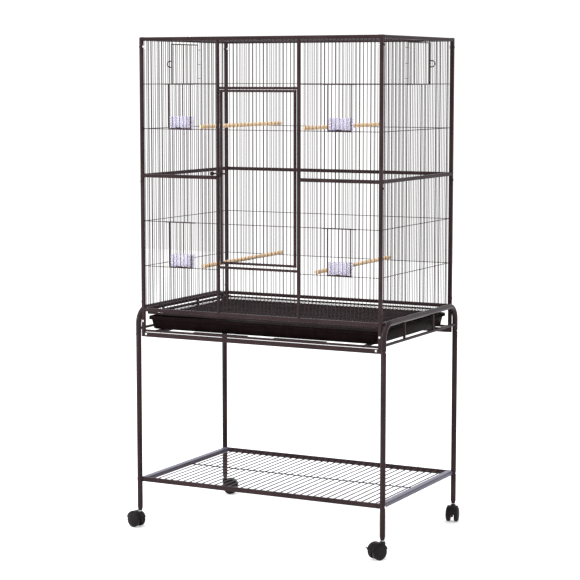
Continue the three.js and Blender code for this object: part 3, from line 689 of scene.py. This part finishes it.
def nest_doors():
    for side in SIDES:
        at = WALLS[side]
        node = f"nest_door_{side}"
        depth = -2
        door = Shape(at)
        for z in NEST_Z:
            door.rod((-NEST_HALF, depth, z), (NEST_HALF, depth, z), EDGE_R)
        for s in SIDES.values():
            x = s * NEST_HALF
            door.rod((x, depth, NEST_Z[0] - 1.6), (x, depth, NEST_Z[1] + 1.6), EDGE_R)
        for u in spaced(12, PITCH):
            door.rod((u, depth, NEST_Z[0]), (u, depth, NEST_Z[1]), WIRE_R)
        piece(f"{node}_wires", door, WIRE_COAT, "wire_coat", node, node)
        pull = Shape(at)
        z = middle(f"nest_door_pull_{side}").z
        reach = NEST_PULL_REACH
        r = NEST_PULL_R
        arc = [(NEST_HALF, depth, z - r)]
        for k in range(17):
            a = math.radians(270 - 180 * k / 16)
            arc.append((NEST_HALF, depth - 2 - reach + r + r * math.cos(a), z + r * math.sin(a)))
        arc.append((NEST_HALF, depth, z + r))
        pull.sweep(arc, circle(1.5, 10), (1, 0, 0))
        piece(f"nest_door_pull_{side}_wire", pull, WIRE_COAT, "wire_coat", node, f"nest_door_pull_{side}")
        hooks = Shape(at)
        for z in NEST_HINGE_Z:
            path = []
            for x, y in rounded(9.6, 7.4, 2.6, 3):
                path.append((-NEST_HALF - 2.7 + x, 0.1 + y, z))
            hooks.sweep(path, circle(0.65, 6), (0, 0, 1), closed=True)
        piece(f"nest_door_{side}_hinge_loops", hooks, WIRE_COAT, "wire_coat", "frame")


def roof():
    low, high = box("roof_grid")
    z = (low.z + high.z) / 2
    wires = Shape()
    for y in (low.y + EDGE_R, high.y - EDGE_R):
        wires.rod((low.x, y, z), (high.x, y, z), EDGE_R)
    for x in (low.x + EDGE_R, high.x - EDGE_R):
        wires.rod((x, low.y, z), (x, high.y, z), EDGE_R)
    count = 2 * math.floor((high.x - 7.2) / PITCH) + 1
    for x in spaced(count, PITCH):
        wires.rod((x, low.y + 2 * EDGE_R - 0.4, z), (x, high.y - 2 * EDGE_R + 0.4, z), WIRE_R, flare=FLARE)
    for y in (low.y / 3, high.y / 3):
        wires.rod((low.x + 2, y, z - 2), (high.x - 2, y, z - 2), WIRE_R)
        for x in spaced(count, PITCH):
            wires.nugget((x, y, z - 1), 1.2)
    piece("roof_wires", wires, WIRE_COAT, "wire_coat", "frame", "roof_grid")


# ---- Grate, tray and the frame under them ----
def grate():
    low, high = box("grate")
    z = (low.z + high.z) / 2
    reach_y = GRATE_REACH_Y
    reach_x = high.x
    bars = Shape()
    for side in SIDES.values():
        y = side * (reach_y - 2)
        bars.bar((-reach_x, y - 2, low.z), (reach_x, y + 2, high.z), radius=1.2)
        x0, x1 = sorted(side * (reach_x + dx) for dx in GRATE_SIDE_X)
        z0, z1 = (z + dz for dz in GRATE_SIDE_Z)
        bars.bar((x0, -reach_y + 1, z0), (x1, reach_y - 1, z1), radius=1.2)
    pull = [(-33.5, -reach_y, z), (-33.5, -reach_y - 5, z), (-31, -reach_y - 7.3, z),
            (31, -reach_y - 7.3, z), (33.5, -reach_y - 5, z), (33.5, -reach_y, z)]
    bars.sweep(pull, circle(1.6, 10), (0, 0, 1))
    piece("grate_frame", bars, FRAME_COAT, "frame_coat", "grate", "grate")
    wires = Shape()
    count = 2 * math.floor((reach_x - 8) / GRATE_PITCH) + 1
    for x in spaced(count, GRATE_PITCH):
        wires.rod((x, -reach_y + 3, z), (x, reach_y - 3, z), WIRE_R, flare=FLARE)
    for y in (-reach_y / 2, 0, reach_y / 2):
        wires.rod((-reach_x + 5, y, z - 2), (reach_x - 5, y, z - 2), WIRE_R)
    piece("grate_wires", wires, WIRE_COAT, "wire_coat", "grate")


def tray():
    low, high = box("tray")
    height = high.z - low.z
    rim_x = high.x + TRAY_RIM_OVER
    rim_y = high.y
    draft = 8
    rim = 3.4
    wall_t = 2.2
    skirt = 9
    top = height
    # Insets from the rim's edge and heights: bottom, outside wall, rolled rim, inside wall, floor.
    levels = [(rim + draft + 6, 0), (rim + draft + 1, 0.6), (rim + draft - 1, 3), (rim + 1.5, top - 4),
              (rim - 0.5, top - 2.4), (2, top - 2.4), (1.6, top - skirt), (0.4, top - skirt),
              (0, top - skirt + 1), (0, top - 1.2), (1, top), (rim, top), (rim + 1.8, top - 1),
              (rim + wall_t + 0.8, top - 4), (rim + draft + wall_t - 1, 4),
              (rim + draft + wall_t + 1.5, 2.4), (rim + draft + wall_t + 6, 1.8)]
    shell = Shape(Matrix.Translation((0, 0, low.z)))
    rings = []
    for inset, z in levels:
        corner = max(14 - inset * 0.35, 5)
        rings.append([(x, y, z) for x, y in rounded(2 * (rim_x - inset), 2 * (rim_y - inset), corner, 6)])
    shell.loft(rings)
    piece("tray_moulding", shell, TRAY_PLASTIC, "tray_plastic", "tray", "tray")


def tray_frame():
    low, high = box("tray_frame")
    bars = Shape()
    for side in ENDS.values():
        y = side * POST_Y
        bars.bar((low.x, y - 3, high.z - 6), (high.x, y + 3, high.z), radius=1.0)
    for side in SIDES.values():
        x0, x1 = sorted(side * x for x in RUNNER_X)
        bars.bar((x0, -POST_Y + 2, high.z - 2.4), (x1, POST_Y - 2, high.z - 0.4), radius=0.6)
        x0, x1 = sorted(side * x for x in RUNNER_LEG_X)
        bars.bar((x0, -POST_Y + 2, low.z), (x1, POST_Y - 2, high.z - 1), radius=0.6)
    for x0, x1 in TRAY_PLATES:
        rear = -POST_Y + TRAY_PLATE_REACH
        bars.bar((x0, -POST_Y + 2, high.z - 1.9), (x1, rear, high.z - 0.4), radius=0.5)
    piece("tray_frame_bars", bars, FRAME_COAT, "frame_coat", "frame", "tray_frame")


# ---- Stand ----
def arch_path(x, foot, top, bend, steps=12):
    path = [Vector((x, LEG_Y, foot))]
    for sign, start in ((1, 0), (-1, 90)):
        for k in range(steps + 1):
            a = math.radians(start + 90 * k / steps)
            y = sign * (LEG_Y - bend) + bend * math.cos(a)
            path.append(Vector((x, y, top - bend + bend * math.sin(a))))
    path.append(Vector((x, -LEG_Y, foot)))
    return path


def stand():
    for end in ENDS:
        for side in SIDES:
            node = f"leg_{end}_{side}"
            low, high = box(node)
            centre = (low + high) / 2
            r = (high.x - low.x) / 2
            length = high.z - low.z
            profile = [(0, 0), (r - 2.6, 0), (r - 1.9, 0.6), (r - 1.2, 3.5), (r - 0.3, 7), (r, 9),
                       (r, length - 0.6), (r - 0.5, length), (0, length)]
            leg = Shape()
            leg.lathe(profile, (centre.x, centre.y, low.z), sides=28)
            piece(f"{node}_tube", leg, FRAME_COAT, "frame_coat", "frame", node)
    for side in SIDES:
        low, high = box(f"side_arch_{side}")
        r = (high.x - low.x) / 2
        arch = Shape()
        top = high.z - r
        arch.sweep(arch_path((low.x + high.x) / 2, low.z, top, 40), circle(r, 24), (1, 0, 0))
        piece(f"side_arch_{side}_tube", arch, ARCH_SHADED_COAT, "frame_coat", "frame", f"side_arch_{side}")
        low, high = box(f"side_brace_{side}")
        x = (low.x + high.x) / 2
        brace = Shape()
        brace.bar((x - 4, low.y - 0.6, low.z), (x + 4, high.y + 0.6, low.z + 6.5), radius=1.2)
        for y in STRUT_Y:
            brace.bar((x - 3, y - 3, low.z + 6), (x + 3, y + 3, high.z + 0.8), radius=1.1)
            brace.bead((x, y, low.z + 6.6), (0, 0, 1), 6, 6, 0.7)
            brace.bead((x, y, high.z - 0.2), (0, 0, 1), 6, 6, 0.8)
        piece(f"side_brace_{side}_bars", brace, FRAME_COAT, "frame_coat", "frame", f"side_brace_{side}")
    for end in ENDS:
        node = f"cross_rail_{end}"
        rail = Shape()
        rail.bar(*box(node), radius=1.8, chamfer=0.6, steps=4)
        piece(f"{node}_tube", rail, FRAME_COAT, "frame_coat", "frame", node)


def shelf():
    low, high = box("bottom_shelf")
    tube = 9
    bars = Shape()
    side_bars = Shape()
    for side in SIDES.values():
        y = side * (high.y - tube / 2)
        bars.bar((low.x, y - tube / 2, low.z), (high.x, y + tube / 2, high.z), radius=2, steps=4)
        x = side * SHELF_SIDE_X
        reach = LEG_Y - 7.8
        half = SHELF_SIDE_WIDTH / 2
        side_bars.bar((x - half, -reach, low.z + 0.3), (x + half, reach, high.z - 0.3), radius=2.6, steps=4)
    piece("shelf_tubes", bars, FRAME_COAT, "frame_coat", "frame", "bottom_shelf")
    # The side rails wear the lit copy of the frame coat: a painted highlight on their tops.
    piece("shelf_side_rails", side_bars, SHELF_LIT_COAT, "frame_coat", "frame")
    wires = Shape()
    wire_z = (low.z + high.z) / 2 + 3
    offsets = spaced(35, SHELF_PITCH)
    reach = high.y - tube + 0.3
    for x in offsets:
        wires.rod((x, -reach, wire_z), (x, reach, wire_z), SHELF_WIRE_R, flare=0.3)
        wires.nugget((x, 0, wire_z - 1.2), 1.4)
    inner = SHELF_SIDE_X - SHELF_SIDE_WIDTH / 2 + 0.4
    wires.rod((-inner, 0, wire_z - 2.4), (inner, 0, wire_z - 2.4), SHELF_WIRE_R, flare=0.3)
    piece("shelf_wires", wires, WIRE_COAT, "wire_coat", "frame")


# ---- Casters ----
WHEEL_R = 21
TRACK = 24.4
WHEEL_W = 14.4
HOOD_HALF = 15.5              # half width of the hood over both wheels
HOOD_ARC = (12, 164)          # degrees round the axle
WEB_HALF = 3.2                # half width of the web between the wheels
WEB_ARC = (-12, 192)
# Turned profiles, as (radius, height above the floor).
SOCKET = [(0, 29), (6.5, 29), (8, 36), (8.2, 40), (7.4, 44), (5.5, 46.5), (5.2, 48), (0, 48)]
STEM = [(0, 46), (5.6, 46), (5.6, 48.3), (4.2, 49), (4.2, 53.5), (3.9, 54), (3.9, 76), (0, 76.5)]


def caster_frame(name):
    """Frame at the foot of a leg with +X towards the axle, and the axle's own point in it."""
    leg = middle(f"leg_{name}")
    axle = Vector(JOINTS[f"wheels_{name}_spin"]["pos_m"]) / MM
    heading = math.atan2(axle.y - leg.y, axle.x - leg.x)
    trail = math.hypot(axle.x - leg.x, axle.y - leg.y)
    at = Matrix.Translation((leg.x, leg.y, 0)) @ Matrix.Rotation(heading, 4, "Z")
    return at, Vector((trail, 0, axle.z))


def dome(radius, height, steps=14, power=2.7):
    """Profile that runs smoothly from a wheel's tread to the middle of its outer face."""
    points = []
    for k in range(steps + 1):
        a = math.pi / 2 * k / steps
        points.append((radius * math.cos(a) ** (2 / power), height * math.sin(a) ** (2 / power)))
    return points


def arc_cover(shape, centre, inner, outer, half_width, start, end, steps=24, lip=1.2):
    """Curved cover round an axle along Y, with rounded edges."""
    bend = [(math.cos(math.radians(a)), math.sin(math.radians(a))) for a in (0, 30, 60, 90)]
    right = [(half_width - lip + lip * c, outer - lip + lip * s) for c, s in bend]
    left = [(-y, r) for y, r in reversed(right)]
    section = [(half_width, inner), *right, *left, (-half_width, inner)]
    rings = []
    for k in range(steps + 1):
        a = math.radians(start + (end - start) * k / steps)
        rings.append([(centre.x + r * math.cos(a), y, centre.z + r * math.sin(a)) for y, r in section])
    shape.loft(rings)


def casters():
    for end in ENDS:
        for side in SIDES:
            name = f"{end}_{side}"
            at, axle = caster_frame(name)
            hood = Shape(at)
            arc_cover(hood, axle, WHEEL_R + 0.5, WHEEL_R + 3.4, HOOD_HALF, *HOOD_ARC, lip=2.9)
            arc_cover(hood, axle, 3.2, WHEEL_R + 1.4, WEB_HALF, *WEB_ARC)
            hood.lathe(SOCKET, sides=24)
            for s in SIDES.values():
                hood.bar((-4, s * 5.5 - 1, 33), (10, s * 5.5 + 1, 42), radius=0.8)
            piece(f"caster_hood_{name}_moulding", hood, CASTER_PLASTIC, "caster_plastic", f"caster_{name}",
                  f"caster_hood_{name}")
            stem = Shape(at)
            stem.lathe(STEM, sides=20)
            piece(f"caster_stem_{name}", stem, STEEL, "pin_steel", f"caster_{name}")
            wheels = Shape(at)
            for s in SIDES.values():
                mid = s * TRACK / 2
                w = WHEEL_W / 2
                profile = [(0, -w), (WHEEL_R - 3.4, -w), (WHEEL_R - 1.6, -w + 0.5), (WHEEL_R - 0.5, -w + 2)]
                profile += dome(WHEEL_R, w)
                wheels.lathe(profile, axle + Vector((0, mid, 0)), (0, s, 0), 48)
            wheels.rod(axle + Vector((0, -TRACK / 2, 0)), axle + Vector((0, TRACK / 2, 0)), 3, 16)
            piece(f"caster_wheels_{name}_pair", wheels, CASTER_PLASTIC, "caster_plastic", f"wheels_{name}",
                  f"caster_wheels_{name}")


def brake_lever():
    at, _ = caster_frame("front_right")
    pivot = at.inverted() @ (Vector(JOINTS["brake_lever_press"]["pos_m"]) / MM)
    lever = Shape(at)
    path = [pivot + Vector((x, 0, z)) for x, z in ((0.4, 1.4), (3, 2.0), (6, 3.0), (9.4, 4.2))]
    lever.sweep(path, rounded(16, 2.4, 1.0), (0, 0, 1), scales=[0.9, 1, 1, 0.92])
    for k in range(3):
        x = 4 + 2 * k
        rise = 0.72 * k
        lever.bar(pivot + Vector((x, -6, 2.8 + rise)), pivot + Vector((x + 0.8, 6, 4.4 + rise)),
                  radius=0.3, chamfer=0.2)
    piece("brake_lever_moulding", lever, CASTER_PLASTIC, "caster_plastic", "brake_lever",
          "caster_brake_lever")


# ---- Fasteners ----
def fasteners():
    zinc = Shape()
    dark = Shape()
    for y in ENDS.values():
        for s in SIDES.values():
            for z in SCREW_LEVELS:
                dark.screw((s * (POST_X + TUBE / 2), y * POST_Y, z), (s, 0, 0), 2.6, 1.8)
            zinc.wing_nut((s * (POST_X - TUBE / 2), y * (POST_Y - 0.5), SCREW_LEVELS[-1]), (-s, 0, 0))
            for z in LEG_SCREW_LEVELS:
                zinc.screw((s * (LEG_X + 7.2), y * LEG_Y, z), (s, 0, 0), 2.2, 1.6)
            zinc.screw((s * 346, y * (POST_Y + TUBE / 2), 541.5), (0, y, 0), 1.8, 1.4)
            zinc.screw((s * POST_X, y * (POST_Y + TUBE / 2), 577), (0, y, 0), 1.6, 1.2)
    for s in SIDES.values():
        zinc.screw((s * 203, -POST_Y, CAGE_TOP), (0, 0, 1), 2.0, 1.4)
    piece("zinc_fasteners", zinc, ZINC, "pin_steel", "frame")
    piece("coated_screws", dark, FRAME_COAT, "frame_coat", "frame")


# ---- Stage, light and camera ----
def stage():
    world = bpy.data.worlds.new("studio")
    world.use_nodes = True
    background = world.node_tree.nodes["Background"]
    background.inputs["Color"].default_value = (1, 1, 1, 1)
    background.inputs["Strength"].default_value = 1.15
    scene = bpy.context.scene
    scene.world = world
    scene.view_settings.view_transform = "Standard"
    scene.view_settings.look = "None"


def floor():
    """Plain pale floor with a little light of its own, so that it stays even under the object."""
    reach = FLOOR_REACH
    corners = [(-reach, -reach, 0), (reach, -reach, 0), (reach, reach, 0), (-reach, reach, 0)]
    mesh = bpy.data.meshes.new("floor")
    mesh.from_pydata(corners, [], [(0, 1, 2, 3)])
    n = Nodes("floor_paint")
    n.shader.inputs["Base Color"].default_value = (0.86, 0.86, 0.86, 1)
    n.shader.inputs["Roughness"].default_value = 0.9
    n.shader.inputs["Specular IOR Level"].default_value = 0
    n.shader.inputs["Emission Color"].default_value = (1, 1, 1, 1)
    n.shader.inputs["Emission Strength"].default_value = 0.35
    mesh.materials.append(n.material)
    obj = bpy.data.objects.new("floor", mesh)
    obj.location = (0, 0, -0.001)
    bpy.context.scene.collection.objects.link(obj)


def area_light(name, location, target, size, energy, colour):
    data = bpy.data.lights.new(name, "AREA")
    data.shape = "RECTANGLE"
    data.size, data.size_y = size
    data.energy = energy
    data.color = colour
    light = bpy.data.objects.new(name, data)
    light.location = location
    light.rotation_euler = (Vector(target) - Vector(location)).to_track_quat("-Z", "Y").to_euler()
    bpy.context.scene.collection.objects.link(light)


def lights():
    area_light("overhead", (0.1, -0.4, 3.6), (0.1, 0, 0.6), (0.26, 3.4), 90, (0.86, 0.90, 1.0))
    area_light("key_left", (-2.6, -2.4, 1.9), (0, 0, 0.7), (0.3, 0.9), 75, (0.92, 0.94, 1.0))


def camera():
    data = bpy.data.cameras.new("camera")
    data.sensor_width = 36
    data.lens = 115.39
    cam = bpy.data.objects.new("camera", data)
    cam.location = (2.32428, -4.52771, 1.23743)
    cam.rotation_euler = (math.radians(90 - 6.508), 0, math.radians(27.4257))
    bpy.context.scene.collection.objects.link(cam)
    bpy.context.scene.camera = cam


camera()
wall_panels()
corner_posts()
front_frame()
front_grilles()
doorway()
front_door()
latch()
feeder_doors()
cups()
perches()
nest_doors()
roof()
grate()
tray()
tray_frame()
stand()
shelf()
casters()
brake_lever()
fasteners()
stage()
floor()
lights()
